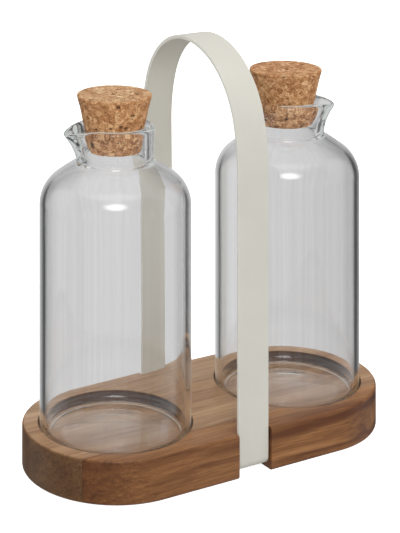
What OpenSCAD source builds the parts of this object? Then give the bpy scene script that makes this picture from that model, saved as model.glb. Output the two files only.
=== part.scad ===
// Cruet set: two glass bottles with cork stoppers in a wooden caddy with a steel strap handle.
//
// Frame: the origin is at the middle of the board's underside. +X runs along the board from the
// left bottle to the right one, +Y runs across it from the front face to the rear face, +Z is up.
// All lengths are in millimetres.

/* [Base board] */
// Distance between the centres of the two bottle recesses
spacing = 104; // [100:0.5:120]
// Width of the board across its straight sides
base_w = 92; // [90:0.5:100]
// Thickness of the board
base_t = 21; // [19:0.5:28]
// Depth of each bottle recess below the board's top
recess_depth = 8; // [5:0.5:9]
// Radial gap between a bottle and its recess
recess_gap = 0.6; // [0.3:0.1:1.2]
// Radius on the board's upper and lower outer edges
edge_r = 1.4; // [0.8:0.1:2]
// Distance of the front glue line from the board's centre line
front_joint = 29.4; // [24:0.2:32]
// Distance of the rear glue line from the board's centre line
rear_joint = 18; // [12:0.5:24]

/* [Strap handle] */
// Width of the flat steel strap
strap_w = 17.6; // [14:0.2:20]
// Thickness of the strap
strap_t = 2; // [1.5:0.1:2.2]
// How far the strap's outer face sits behind the board's side face
strap_inset = 1.6; // [0.8:0.1:2.4]
// Gap between the strap and each side of its slot
slot_gap = 0.5; // [0.3:0.1:0.8]
// Overall height from the table to the top of the arch
handle_h = 205; // [200:1:230]
// Outer radius of the bend under the board
bend_r = 4.5; // [4:0.1:5]
// Height of the strap's underside above the table
foot_clear = 2.4; // [2.3:0.1:3]
// Length of each tab under the board, from the strap's outer face
tab_len = 17.4; // [15:0.2:22]

/* [Screws] */
// Major diameter of the wood screws
screw_d = 3; // [2.5:0.1:3.5]
// Diameter of the screw's pan head
screw_head_d = 5.8; // [5:0.1:6.6]
// Length of the screw under its head
screw_len = 12; // [9:0.5:13]
// Distance between the two screws in each tab
screw_pitch = 9; // [7:0.5:9.5]

/* [Bottles] */
// Outer diameter of the bottle's body
bottle_d = 75; // [70:0.5:78]
// Overall height of a bottle
bottle_h = 153.7; // [150:0.1:157]
// Thickness of the body's wall
wall = 2.7; // [2:0.1:3.2]
// Thickness of the bottle's floor
floor_t = 4; // [3:0.5:6]
// Height at which the straight wall turns into the shoulder
shoulder_h = 114.6; // [108:0.2:118]
// Radius of the rounded shoulder
shoulder_r = 17.5; // [15:0.5:18]
// Angle of the shoulder's upper slope, measured from upright
shoulder_a = 56; // [48:1:62]
// Outer diameter of the neck
neck_d = 38.6; // [37:0.2:40]
// Inner diameter of the neck
mouth_d = 29.6; // [29.6:0.1:31]
// Radius of the hollow where the neck meets the shoulder
neck_fillet = 3; // [2:0.5:4]

/* [Pouring lips] */
// Reach of the left bottle's lip from the bottle's axis
lip_reach_left = 26.8; // [25:0.2:31]
// Reach of the right bottle's lip from the bottle's axis
lip_reach_right = 25; // [25:0.2:31]
// Direction of the left bottle's lip, counted from +X
lip_angle_left = 170; // [150:1:210]
// Direction of the right bottle's lip, counted from +X
lip_angle_right = -38; // [-90:1:30]
// Radius of the left bottle's lip at its tip
lip_tip_left = 5; // [3.5:0.5:8]
// Radius of the right bottle's lip at its tip
lip_tip_right = 7; // [3.5:0.5:8]
// Fall of the lip's edge towards its tip, in degrees
lip_slope = 16; // [4:1:18]
// Height of the part of the neck that is drawn out into the lip
lip_h = 15; // [12:0.5:15]

/* [Cork stoppers] */
// Diameter of the stopper's top
cork_top_d = 37.4; // [36:0.2:38]
// Diameter of the stopper's bottom
cork_bottom_d = 24; // [22:0.2:24.2]
// Height of a stopper
cork_h = 27.4; // [26:0.2:30]
// Depth of the stopper's bottom below the bottle's rim
cork_depth = 12.1; // [9:0.1:12.1]
// Width of the eased edge on the stopper's ends
cork_edge = 0.7; // [0.3:0.1:1.2]

/* [Hidden] */
$fn = 96;

over = 1; // how far a cutter reaches past the face it cuts

// Board
half_w = base_w / 2;
recess_floor = base_t - recess_depth;
recess_r = bottle_d / 2 + recess_gap;
recess_edge = 0.5 + 0.02; // bevel of the recess's upper edge, with the overlap of its cutter

// Strap: its outer face and middle line, tabs and bends, at the rear
strap_y = half_w - strap_inset;
strap_mid = strap_y - strap_t / 2;
tab_y = strap_y - tab_len;
bend_y = strap_y - bend_r;
bend_z = foot_clear + bend_r;

// Slot and groove for the strap
strap_clear = 0.1; // gap between the strap's inner face and the wood
slot_x = strap_w / 2 + slot_gap;
slot_y = strap_y - strap_t - strap_clear;
groove_z = foot_clear + strap_t + strap_clear;

// Screws
screw_r = screw_d / 2;
screw_y = (tab_y + bend_y) / 2 + 1; // 1 mm outward of the middle of the tab's flat

// Bottles
body_r = bottle_d / 2;
neck_r = neck_d / 2;
mouth_r = mouth_d / 2;
glass_color = [0.86, 0.9, 0.9, 0.45];

// ---------------------------------------------------------------- placing

// Places its child on the four screw axes, at height z.
module at_screws(z)
    for (x = [-1, 1], y = [-1, 1])
        translate([x * screw_pitch / 2, y * screw_y, z]) children();

// Places its child over a recess, raised above its floor; side is -1 at the left, 1 at the right.
module at_recess(side, raise = 0)
    translate([side * spacing / 2, 0, recess_floor + raise]) children();

// ---------------------------------------------------------------- board

// Half of the board's cross-section at its round ends, eased at top and bottom.
module end_profile() {
    translate([0, edge_r]) square([half_w, base_t - 2 * edge_r]);
    square([half_w - edge_r, base_t]);
    for (z = [edge_r, base_t - edge_r])
        translate([half_w - edge_r, z]) circle(edge_r);
}

// The board's full cross-section between its round ends.
module mid_profile() {
    translate([-half_w, edge_r]) square([base_w, base_t - 2 * edge_r]);
    translate([-half_w + edge_r, 0]) square([base_w - 2 * edge_r, base_t]);
    for (side = [-1, 1], z = [edge_r, base_t - edge_r])
        translate([side * (half_w - edge_r), z]) circle(edge_r);
}

// Board with straight sides and half-round ends that share their centres with the recesses.
module board_blank() {
    translate([-spacing / 2, 0, 0]) rotate([90, 0, 90]) linear_extrude(spacing) mid_profile();
    for (side = [1, -1])
        translate([side * spacing / 2, 0, 0]) rotate([0, 0, -90 * side])
            rotate_extrude(angle = 180) end_profile();
}

// Round recess with a slightly broken upper edge, standing on the recess's floor.
module recess_cut() {
    cylinder(r = recess_r, h = recess_depth + over);
    translate([0, 0, recess_depth - 0.5])
        cylinder(r1 = recess_r, r2 = recess_r + recess_edge, h = recess_edge);
}

// Slot in the front side, the groove under the board from there to the centre line, and the
// rounded corner the strap bends around.
module strap_cut() {
    groove_len = slot_y + 0.5; // runs 0.5 into the slot
    corner_lap = 0.2;          // overlap of the corner with slot and groove
    translate([-slot_x, -half_w - over, -over])
        cube([2 * slot_x, half_w + over - slot_y, base_t + 2 * over]);
    translate([-slot_x, -groove_len, -over])
        cube([2 * slot_x, groove_len, over + groove_z]);
    difference() {
        translate([-slot_x, -slot_y - corner_lap, groove_z - corner_lap])
            cube([2 * slot_x, slot_y + corner_lap - bend_y, bend_z - groove_z + corner_lap]);
        translate([-slot_x - over, -bend_y, bend_z]) rotate([0, 90, 0])
            cylinder(r = bend_r - strap_t - strap_clear, h = 2 * (slot_x + over));
    }
}

module pilot_holes()
    at_screws(groove_z - over)
        cylinder(r = screw_r + 0.02, h = screw_len + 1.5, $fn = 32);

// One glued stave of the board, between the planes y0 and y1.
module stave(y0, y1) {
    difference() {
        intersection() {
            board_blank();
            translate([-spacing, y0, -over]) cube([2 * spacing, y1 - y0, base_t + 2 * over]);
        }
        for (side = [-1, 1]) at_recess(side) recess_cut();
        strap_cut();
        mirror([0, 1, 0]) strap_cut();
        pilot_holes();
    }
}

module base_stave_front() color("#8a5f3b") stave(-half_w - over, -front_joint);
module base_stave_middle() color("#7d6148") stave(-front_joint, rear_joint);
module base_stave_rear() color("#a5825c") stave(rear_joint, half_w + over);

// ---------------------------------------------------------------- handle

// The arch along the strap's middle line, from front to rear: radii of its four arcs, given for a
// middle line 43.4 from the centre, and its heading at their ends, counted from upright.
// It leans a little to the rear at its end, so the two sides differ.
arch_r = [for (radius = [87.5, 46.1, 39, 75.5]) radius * strap_mid / 43.4];
arch_a = [0, 16.4, 85.2, 160.3, 180.9];
arch_step = 2; // largest angle between points on the arch

// Height at which the arch springs from the front leg.
arch_z = handle_h - strap_t / 2 - arch_r[0] * sin(arch_a[1])
    - arch_r[1] * (sin(arch_a[2]) - sin(arch_a[1])) - arch_r[2] * (1 - sin(arch_a[2]));

// Direction from an arc's centre to its point with the given heading, as [y, z].
function outward(heading) = [-cos(heading), sin(heading)];
function arch_start(i) = i == 0
    ? [-strap_mid, arch_z]
    : arch_centre(i - 1) + arch_r[i - 1] * outward(arch_a[i]);
function arch_centre(i) = arch_start(i) - arch_r[i] * outward(arch_a[i]);

// Points along the arch, at a distance outside the strap's middle line.
function arch_side(offset) = [for (i = [0:3])
    let (sweep = arch_a[i + 1] - arch_a[i], steps = ceil(sweep / arch_step))
    for (k = [i == 0 ? 0 : 1:steps])
        arch_centre(i) + (arch_r[i] + offset) * outward(arch_a[i] + sweep * k / steps)];

// Points along one tab and bend, at the same distance; side is -1 in front and 1 at the rear.
function bend_side(side, offset) = concat(
    [[side * tab_y, foot_clear + strap_t / 2 - offset]],
    [for (angle = [0:9:90])
        [side * bend_y, bend_z]
            + (bend_r - strap_t / 2 + offset) * [side * sin(angle), -cos(angle)]]);

function reversed(points) = [for (i = [len(points) - 1:-1:0]) points[i]];

// Height at which the rear leg starts to lean, between the board and the arch.
lean_z = arch_start(4)[1] - (arch_start(4)[0] - strap_mid) / tan(arch_a[4] - 180);

function strap_side(offset) = concat(
    bend_side(-1, offset),
    arch_side(offset),
    [[strap_mid + offset, lean_z]],
    reversed(bend_side(1, offset)));

// Side view of the strap: arch, two legs, two bends and two tabs.
module strap_outline()
    polygon(concat(strap_side(strap_t / 2), reversed(strap_side(-strap_t / 2))));

// Flat steel strap bent into an arch, with a tab under each long side of the board.
module handle_strap() color("#d2cec3")
    difference() {
        translate([-strap_w / 2, 0, 0]) rotate([90, 0, 90])
            linear_extrude(strap_w) strap_outline();
        at_screws(foot_clear - over)
            cylinder(r = screw_r + 0.25, h = strap_t + 2 * over, $fn = 32);
    }

// ---------------------------------------------------------------- screws

screw_head_r = screw_head_d / 2;
screw_head_h = 1.95;
rib_count = 6;
rib_start = 1.6; // height of the first rib's root above the head
rib_pitch = (screw_len - 4.2) / rib_count;
point_h = 2.4;   // length of the point
cross_l = 3;     // length, width and top of the cross-shaped recess in the head
cross_w = 0.8;
cross_z = -0.8;

// Half-profile of a pan-head wood screw, head down, with a ribbed shank and a point.
function screw_profile() = concat(
    [[0, -screw_head_h],
     [screw_head_r * 0.55, -screw_head_h],
     [screw_head_r * 0.85, -screw_head_h * 0.82],
     [screw_head_r, -screw_head_h * 0.45],
     [screw_head_r, 0],
     [screw_r, 0]],
    [for (i = [0:rib_count - 1], k = [0:1])
        [k == 0 ? screw_r * 0.78 : screw_r, rib_start + (i + k * 0.5) * rib_pitch]],
    [[screw_r * 0.7, screw_len - point_h], [0, screw_len]]);

module screw() {
    difference() {
        rotate_extrude($fn = 32) polygon(screw_profile());
        for (angle = [0, 90]) rotate([0, 0, angle])
            translate([-cross_l / 2, -cross_w / 2, -3]) cube([cross_l, cross_w, 3 + cross_z]);
    }
}

module handle_screws() color("#b9bcbe") at_screws(foot_clear) screw();

// ---------------------------------------------------------------- bottles

foot_r = 3;         // rounding of the foot
cavity_r = 4.5;     // rounding of the cavity at its floor
cavity_fillet = 1.5; // rounding of the cavity where it meets the neck
rim_out = 1.9;      // rounding of the rim's outer edge
rim_in = 1.5;       // rounding of the rim's inner edge
hollow_r = 244;     // radius and depth of the hollow under the floor
hollow_depth = 1.4;

// Region between the axis and a bottle surface: straight wall, round shoulder, slope and neck.
// body, shoulder, neck and fillet are radii; bottom and top are heights.
module lathe_region(bottom, body, shoulder, neck, fillet, top) {
    arc_x = body - shoulder;
    slope_start = [arc_x + shoulder * cos(shoulder_a), shoulder_h + shoulder * sin(shoulder_a)];
    // where the slope would meet the neck
    corner = [neck, slope_start[1] + (slope_start[0] - neck) / tan(shoulder_a)];
    fillet_centre = corner + fillet * [1, (1 - cos(shoulder_a)) / sin(shoulder_a)];
    fillet_start = fillet_centre - fillet * [cos(shoulder_a), sin(shoulder_a)];
    translate([0, bottom]) square([body, shoulder_h - bottom]);
    intersection() {
        translate([arc_x, shoulder_h]) circle(shoulder);
        translate([0, shoulder_h - 1]) square([body + 1, shoulder + 2]);
    }
    polygon([[0, shoulder_h - 1], [arc_x, shoulder_h - 1], slope_start, corner, [0, corner[1]]]);
    translate([0, shoulder_h]) square([neck, top - shoulder_h]);
    difference() {
        polygon([fillet_start, corner - [0.5, 0.5], [neck - 0.5, fillet_centre[1]],
                 fillet_centre]);
        translate(fillet_centre) circle(fillet, $fn = 64);
    }
}

// What a rectangle leaves outside a circle: the waste around a rounded corner.
module corner_waste(origin, size, centre, radius)
    difference() {
        translate(origin) square(size);
        translate(centre) circle(radius, $fn = 64);
    }

// Half-profile of the glass, with rounded foot, floor and rim.
module glass_profile() {
    foot_x = body_r - foot_r;
    cavity_body = body_r - wall;
    cavity_x = cavity_body - cavity_r;
    rim_corner = [neck_r - rim_out, bottle_h - rim_out];
    difference() {
        lathe_region(bottom = 0, body = body_r, shoulder = shoulder_r, neck = neck_r,
                     fillet = neck_fillet, top = bottle_h);
        // foot
        corner_waste([foot_x, -over], [foot_r + over, foot_r + over],
                     [foot_x, foot_r], foot_r);
        // outer edge of the rim
        corner_waste(rim_corner, [rim_out + over, rim_out + over], rim_corner, rim_out);
        // cavity, with rounded corners at its floor
        difference() {
            lathe_region(bottom = floor_t, body = cavity_body, shoulder = shoulder_r - wall,
                         neck = mouth_r, fillet = cavity_fillet, top = bottle_h + over);
            corner_waste([cavity_x, floor_t - over], [cavity_r + over, cavity_r + over],
                         [cavity_x, floor_t + cavity_r], cavity_r);
        }
        // inner edge of the rim
        corner_waste([mouth_r - 0.5, bottle_h - rim_in], [rim_in + 0.5, rim_in + over],
                     [mouth_r + rim_in, bottle_h - rim_in], rim_in);
    }
}

// Plan of a drawn-out lip: a round neck and a small round tip, joined by tangents.
module lip_plan(neck, tip, reach) {
    tip_centre = [reach - tip, 0];
    angle = asin((neck - tip) / tip_centre[0]);
    left = [sin(angle), cos(angle)];
    right = [sin(angle), -cos(angle)];
    circle(neck);
    translate(tip_centre) circle(tip, $fn = 48);
    polygon([[0, 0], neck * left, tip_centre + tip * left,
             tip_centre + tip * right, neck * right]);
}

// Outside of the lip: the plan above, cut to a cone that opens upwards from the neck.
// It ends 0.3 below the rim.
module lip_outer(reach, tip) {
    intersection() {
        translate([0, 0, bottle_h - lip_h - 1]) linear_extrude(lip_h + 1 - 0.3)
            lip_plan(neck_r - 0.7, tip, reach);
        translate([0, 0, bottle_h - lip_h])
            cylinder(r1 = neck_r - 0.4, r2 = reach + 1.6, h = lip_h);
    }
}

// Channel down which the liquid runs from the mouth to the tip of the lip.
module lip_channel(reach, tip) {
    intersection() {
        translate([0, 0, bottle_h - lip_h]) linear_extrude(lip_h + 2)
            lip_plan(mouth_r - 0.5, tip - 1.8, reach - 2);
        translate([0, 0, bottle_h - lip_h + 2])
            cylinder(r1 = mouth_r - 0.2, r2 = reach + 0.5, h = lip_h - 1);
    }
}

// Clear glass bottle with a thick neck and a pouring lip that points along +X.
module bottle(reach, tip) {
    difference() {
        union() {
            rotate_extrude($fn = 128) glass_profile();
            // the lip, kept clear of the mouth
            difference() {
                lip_outer(reach, tip);
                translate([0, 0, bottle_h - lip_h - 2])
                    cylinder(r = mouth_r + 1, h = lip_h + 4);
            }
        }
        lip_channel(reach, tip);
        // the lip's edge falls towards its tip
        translate([neck_r - 1, 0, bottle_h]) rotate([0, lip_slope, 0])
            translate([0, -30, 0]) cube([40, 60, 14]);
        // shallow hollow under the floor
        translate([0, 0, hollow_depth - hollow_r]) sphere(r = hollow_r, $fn = 200);
    }
}

module bottle_left() color(glass_color)
    at_recess(-1) rotate([0, 0, lip_angle_left]) bottle(lip_reach_left, lip_tip_left);

module bottle_right() color(glass_color)
    at_recess(1) rotate([0, 0, lip_angle_right]) bottle(lip_reach_right, lip_tip_right);

// ---------------------------------------------------------------- stoppers

// Tapered cork stopper with eased ends.
module stopper() {
    bottom_r = cork_bottom_d / 2;
    top_r = cork_top_d / 2;
    taper = (top_r - bottom_r) / cork_h;
    ease = 0.3 * cork_edge; // middle point of the eased edge
    rotate_extrude()
        polygon([[0, 0],
                 [bottom_r - cork_edge, 0],
                 [bottom_r - ease + taper * ease, ease],
                 [bottom_r + taper * cork_edge, cork_edge],
                 [top_r - taper * cork_edge, cork_h - cork_edge],
                 [top_r - ease - taper * ease, cork_h - ease],
                 [top_r - cork_edge, cork_h],
                 [0, cork_h]]);
}

module stopper_left() color("#c08f5f") at_recess(-1, bottle_h - cork_depth) stopper();
module stopper_right() color("#b98655") at_recess(1, bottle_h - cork_depth) stopper();

base_stave_front();
base_stave_middle();
base_stave_rear();
handle_strap();
handle_screws();
bottle_left();
bottle_right();
stopper_left();
stopper_right();
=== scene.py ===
import math

import bmesh
import bpy
import numpy as np
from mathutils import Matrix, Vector, noise


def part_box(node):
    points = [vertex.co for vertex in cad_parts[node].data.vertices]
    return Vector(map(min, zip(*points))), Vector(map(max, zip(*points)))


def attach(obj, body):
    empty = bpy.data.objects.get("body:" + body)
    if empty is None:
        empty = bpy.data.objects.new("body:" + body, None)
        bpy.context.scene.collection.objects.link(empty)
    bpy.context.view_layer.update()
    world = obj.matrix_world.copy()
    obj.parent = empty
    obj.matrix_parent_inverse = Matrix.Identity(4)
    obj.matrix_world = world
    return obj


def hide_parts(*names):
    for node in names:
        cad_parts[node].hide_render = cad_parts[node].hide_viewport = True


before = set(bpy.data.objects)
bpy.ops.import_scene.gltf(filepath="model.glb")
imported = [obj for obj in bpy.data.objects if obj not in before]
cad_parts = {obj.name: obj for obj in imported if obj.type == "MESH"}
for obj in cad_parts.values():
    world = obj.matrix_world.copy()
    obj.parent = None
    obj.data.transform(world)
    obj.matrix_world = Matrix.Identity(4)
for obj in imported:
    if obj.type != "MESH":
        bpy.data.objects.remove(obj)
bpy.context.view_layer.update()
MM = 0.001

# ---------------------------------------------------------------- sizes read from the frame
board_lo, board_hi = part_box("base_stave_middle")
front_lo, front_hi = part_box("base_stave_front")
rear_lo, rear_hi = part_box("base_stave_rear")
strap_lo, strap_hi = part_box("handle_strap")
bl_lo, bl_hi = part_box("bottle_left")
br_lo, br_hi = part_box("bottle_right")
sl_lo, sl_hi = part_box("stopper_left")
sr_lo, sr_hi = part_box("stopper_right")

HALF_W = rear_hi.y / MM
LENGTH = (board_hi.x - board_lo.x) / MM
SPACING = LENGTH - 2 * HALF_W
BOARD_T = board_hi.z / MM
JOINT_FRONT = front_hi.y / MM
JOINT_REAR = rear_lo.y / MM
FLOOR_Z = bl_lo.z / MM
BOTTLE_H = (bl_hi.z - bl_lo.z) / MM
STRAP_W = (strap_hi.x - strap_lo.x) / MM
STRAP_Y = -strap_lo.y / MM
STRAP_TOP = strap_hi.z / MM
STRAP_FOOT = strap_lo.z / MM
CORK_Z = sl_lo.z / MM
CORK_H = (sl_hi.z - sl_lo.z) / MM
RECESS_R = 38.1
STRAP_T = 2.0
BEND_R = 4.5
SLOT_X = STRAP_W / 2 + 0.5


# ---------------------------------------------------------------- mesh helpers
def new_object(name, verts, faces, smooth=True):
    mesh = bpy.data.meshes.new(name)
    mesh.from_pydata([tuple(float(c) * MM for c in v) for v in verts], [], faces)
    mesh.validate()
    ob = bpy.data.objects.new(name, mesh)
    bpy.context.scene.collection.objects.link(ob)
    if smooth:
        mesh.polygons.foreach_set("use_smooth", [True] * len(mesh.polygons))
    mesh.update()
    return ob


def fix_normals(mesh):
    bm = bmesh.new()
    bm.from_mesh(mesh)
    bmesh.ops.recalc_face_normals(bm, faces=bm.faces)
    bm.to_mesh(mesh)
    bm.free()


def apply_boolean(ob, cutter, operation):
    mod = ob.modifiers.new("cut", "BOOLEAN")
    mod.operation = operation
    mod.solver = "EXACT"
    mod.object = cutter
    dg = bpy.context.evaluated_depsgraph_get()
    made = bpy.data.meshes.new_from_object(ob.evaluated_get(dg), depsgraph=dg)
    ob.modifiers.clear()
    old = ob.data
    ob.data = made
    bpy.data.meshes.remove(old)
    mesh = cutter.data
    bpy.data.objects.remove(cutter)
    bpy.data.meshes.remove(mesh)


def box_object(lo, hi):
    x0, y0, z0 = lo
    x1, y1, z1 = hi
    v = [(x0, y0, z0), (x1, y0, z0), (x1, y1, z0), (x0, y1, z0),
         (x0, y0, z1), (x1, y0, z1), (x1, y1, z1), (x0, y1, z1)]
    f = [(0, 3, 2, 1), (4, 5, 6, 7), (0, 1, 5, 4), (1, 2, 6, 5), (2, 3, 7, 6), (3, 0, 4, 7)]
    return new_object("cutter", v, f, smooth=False)


def lathe_object(name, profile, angles, centre=(0, 0), smooth=True):
    """Closed surface of revolution of a profile that starts and ends on the axis."""
    n = len(angles)
    verts, rings = [], []
    for r, z in profile:
        if r < 1e-6:
            rings.append([len(verts)])
            verts.append((centre[0], centre[1], z))
        else:
            rings.append(list(range(len(verts), len(verts) + n)))
            verts += [(centre[0] + r * math.cos(a), centre[1] + r * math.sin(a), z) for a in angles]
    faces = []
    for a, b in zip(rings[:-1], rings[1:]):
        for i in range(n):
            j = (i + 1) % n
            if len(a) == 1 and len(b) == 1:
                continue
            if len(a) == 1:
                faces.append((a[0], b[j], b[i]))
            elif len(b) == 1:
                faces.append((a[i], a[j], b[0]))
            else:
                faces.append((a[i], a[j], b[j], b[i]))
    ob = new_object(name, verts, faces, smooth)
    fix_normals(ob.data)
    return ob


def arc(cx, cz, r, a0, a1, n):
    """Points on an arc, angles in degrees."""
    return [(cx + r * math.cos(math.radians(a0 + (a1 - a0) * i / n)),
             cz + r * math.sin(math.radians(a0 + (a1 - a0) * i / n))) for i in range(n + 1)]


# ---------------------------------------------------------------- board
EDGE_R = 1.4


def stadium(radius, n=72):
    """Outline of the board inset so that its round ends have this radius, counter-clockwise."""
    pts = []
    for s, a0 in ((1, -90), (-1, 90)):
        for i in range(n + 1):
            a = math.radians(a0 + 180 * i / n)
            pts.append((s * SPACING / 2 + radius * math.cos(a), radius * math.sin(a)))
    return pts


def board_blank():
    steps = 6
    rings = [(EDGE_R * (1 - math.sin(math.radians(90 * i / steps))),
              EDGE_R * (1 - math.cos(math.radians(90 * i / steps)))) for i in range(steps + 1)]
    levels = rings + [(inset, BOARD_T - z) for inset, z in reversed(rings)]
    verts, faces, loops = [], [], []
    for inset, z in levels:
        pts = stadium(HALF_W - inset)
        loops.append(list(range(len(verts), len(verts) + len(pts))))
        verts += [(x, y, z) for x, y in pts]
    for a, b in zip(loops[:-1], loops[1:]):
        for i in range(len(a)):
            j = (i + 1) % len(a)
            faces.append((a[i], a[j], b[j], b[i]))
    faces.append(tuple(reversed(loops[0])))
    faces.append(tuple(loops[-1]))
    return verts, faces


def stave(name, y0, y1, on_front, on_rear):
    """One glued stave, cut from the board, with its recesses, slot and groove and softly broken edges."""
    verts, faces = board_blank()
    ob = new_object(name, verts, faces, smooth=False)
    apply_boolean(ob, box_object((-150, y0, -5), (150, y1, BOARD_T + 5)), "INTERSECT")
    angles = [2 * math.pi * (i + 0.5) / 144 for i in range(144)]
    for s in (-1, 1):
        profile = [(0, FLOOR_Z), (RECESS_R, FLOOR_Z), (RECESS_R, BOARD_T + 3), (0, BOARD_T + 3)]
        apply_boolean(ob, lathe_object("cutter", profile, angles, (s * SPACING / 2, 0), False), "DIFFERENCE")
    groove_z = STRAP_FOOT + STRAP_T + 0.1
    apply_boolean(ob, box_object((-SLOT_X, -HALF_W - 5, -5), (SLOT_X, HALF_W + 5, groove_z)), "DIFFERENCE")
    slot_y = STRAP_Y - STRAP_T - 0.1
    bend_y, bend_z = STRAP_Y - BEND_R, STRAP_FOOT + BEND_R
    rr = BEND_R - STRAP_T - 0.1
    for s in ([-1] if on_front else []) + ([1] if on_rear else []):
        # side view of the slot, with the rounded corner the strap bends around
        pts = [(HALF_W + 5, -5), (HALF_W + 5, BOARD_T + 5), (slot_y, BOARD_T + 5)]
        pts += [(bend_y + rr * math.cos(t), bend_z - rr * math.sin(t))
                for t in [math.radians(90 * i / 8) for i in range(9)]]
        pts += [(bend_y, -5)]
        pts = [(s * y, z) for y, z in pts]
        n = len(pts)
        v = [(-SLOT_X, y, z) for y, z in pts] + [(SLOT_X, y, z) for y, z in pts]
        f = [tuple(range(n)), tuple(range(2 * n - 1, n - 1, -1))]
        f += [(i, (i + 1) % n, n + (i + 1) % n, n + i) for i in range(n)]
        cut = new_object("cutter", v, f, smooth=False)
        fix_normals(cut.data)
        apply_boolean(ob, cut, "DIFFERENCE")
    # ease the edges a hand would touch, but not the glued faces
    bm = bmesh.new()
    bm.from_mesh(ob.data)
    bmesh.ops.remove_doubles(bm, verts=bm.verts, dist=2e-6)
    bmesh.ops.dissolve_limit(bm, angle_limit=math.radians(0.5), verts=bm.verts, edges=bm.edges)
    glued = [y * MM for y in (y0, y1) if abs(y) < HALF_W]
    chosen = []
    for e in bm.edges:
        if len(e.link_faces) != 2 or e.calc_face_angle(0) < math.radians(38):
            continue
        if any(all(abs(v.co.y - g) < 2e-6 for v in e.verts) for g in glued):
            continue
        chosen.append(e)
    bmesh.ops.bevel(bm, geom=chosen, offset=0.42 * MM, offset_type="OFFSET", segments=3, profile=0.5,
                    affect="EDGES", clamp_overlap=True, loop_slide=False)
    bmesh.ops.triangulate(bm, faces=[f for f in bm.faces if len(f.verts) > 4])
    bmesh.ops.recalc_face_normals(bm, faces=bm.faces)
    bm.to_mesh(ob.data)
    bm.free()
    ob.data.polygons.foreach_set("use_smooth", [True] * len(ob.data.polygons))
    ob.data.set_sharp_from_angle(angle=math.radians(32))
    return ob


stave_front = stave("board_stave_front", -HALF_W - 1, JOINT_FRONT, True, False)
stave_middle = stave("board_stave_middle", JOINT_FRONT, JOINT_REAR, False, False)
stave_rear = stave("board_stave_rear", JOINT_REAR, HALF_W + 1, False, True)


# ---------------------------------------------------------------- strap handle
def strap_path():
    """Middle line of the strap in the YZ plane, with its outward normals, from tab to tab."""
    half = STRAP_T / 2
    ry = STRAP_Y - half
    bend_y, bend_z = STRAP_Y - BEND_R, STRAP_FOOT + BEND_R
    rb = BEND_R - half
    tab = STRAP_Y - 17.4
    # four tangent arcs; the strap springs a little to the rear, so its two sides differ
    radii = [r * ry / 43.4 for r in (87.5, 46.1, 39.0, 75.5)]
    heads = [math.radians(a) for a in (0, 16.4, 85.2, 160.3, 180.9)]
    s1, s2 = math.sin(heads[1]), math.sin(heads[2])
    arch_z = STRAP_TOP - half - radii[0] * s1 - radii[1] * (s2 - s1) - radii[2] * (1 - s2)
    end = []
    for i in range(5):
        y = -tab - (bend_y - tab) * i / 5
        end.append(((y, STRAP_FOOT + half), (0, -1)))
    for i in range(13):
        a = math.radians(270 - 90 * i / 12)
        end.append(((-bend_y + rb * math.cos(a), bend_z + rb * math.sin(a)), (math.cos(a), math.sin(a))))
    pts = list(end)
    for i in range(1, 24):
        pts.append(((-ry, bend_z + (arch_z - bend_z) * i / 24), (-1, 0)))
    y, z = -ry, arch_z
    for r, a0, a1 in zip(radii, heads, heads[1:]):
        cy, cz = y + r * math.cos(a0), z - r * math.sin(a0)
        n = max(8, int(math.degrees(a1 - a0) / 1.4))
        for k in range(n):
            a = a0 + (a1 - a0) * k / n
            pts.append(((cy - r * math.cos(a), cz + r * math.sin(a)), (-math.cos(a), math.sin(a))))
        y, z = cy - r * math.cos(a1), cz + r * math.sin(a1)
    lean = heads[-1] - math.pi
    foot = z - (y - ry) / math.tan(lean)
    for i in range(20):
        pts.append(((y + (ry - y) * i / 20, z + (foot - z) * i / 20), (math.cos(lean), -math.sin(lean))))
    for i in range(8):
        pts.append(((ry, foot + (bend_z - foot) * i / 8), (1, 0)))
    return pts + [((-p[0], p[1]), (-n[0], n[1])) for p, n in reversed(end)]


def strap_section():
    """Rounded rectangle: (across the width, along the outward normal)."""
    w, h, r = STRAP_W / 2, STRAP_T / 2, 0.42
    pts = []
    for cx, cy, a0 in ((w - r, h - r, 0), (-(w - r), h - r, 90), (-(w - r), -(h - r), 180), (w - r, -(h - r), 270)):
        for i in range(5):
            a = math.radians(a0 + 90 * i / 4)
            pts.append((cx + r * math.cos(a), cy + r * math.sin(a)))
    return pts


def strap_object():
    path, section = strap_path(), strap_section()
    m = len(section)
    verts, faces = [], []
    for (y, z), (ny, nz) in path:
        for a, b in section:
            verts.append((a, y + ny * b, z + nz * b))
    for k in range(len(path) - 1):
        for i in range(m):
            j = (i + 1) % m
            faces.append((k * m + i, k * m + j, (k + 1) * m + j, (k + 1) * m + i))
    faces.append(tuple(range(m)))
    faces.append(tuple(reversed(range((len(path) - 1) * m, len(path) * m))))
    ob = new_object("strap_handle", verts, faces)
    fix_normals(ob.data)
    ob.data.set_sharp_from_angle(angle=math.radians(40))
    return ob


strap = strap_object()

# ---------------------------------------------------------------- bottles
BODY_R, WALL, FLOOR_T = 37.5, 2.7, 4.0
SHOULDER_H, SHOULDER_R, SHOULDER_A = 114.6, 17.5, 56.0
NECK_R, MOUTH_R, NECK_FILLET = 19.3, 14.8, 3.0
RIM_OUT, RIM_IN = 1.9, 1.5


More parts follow.
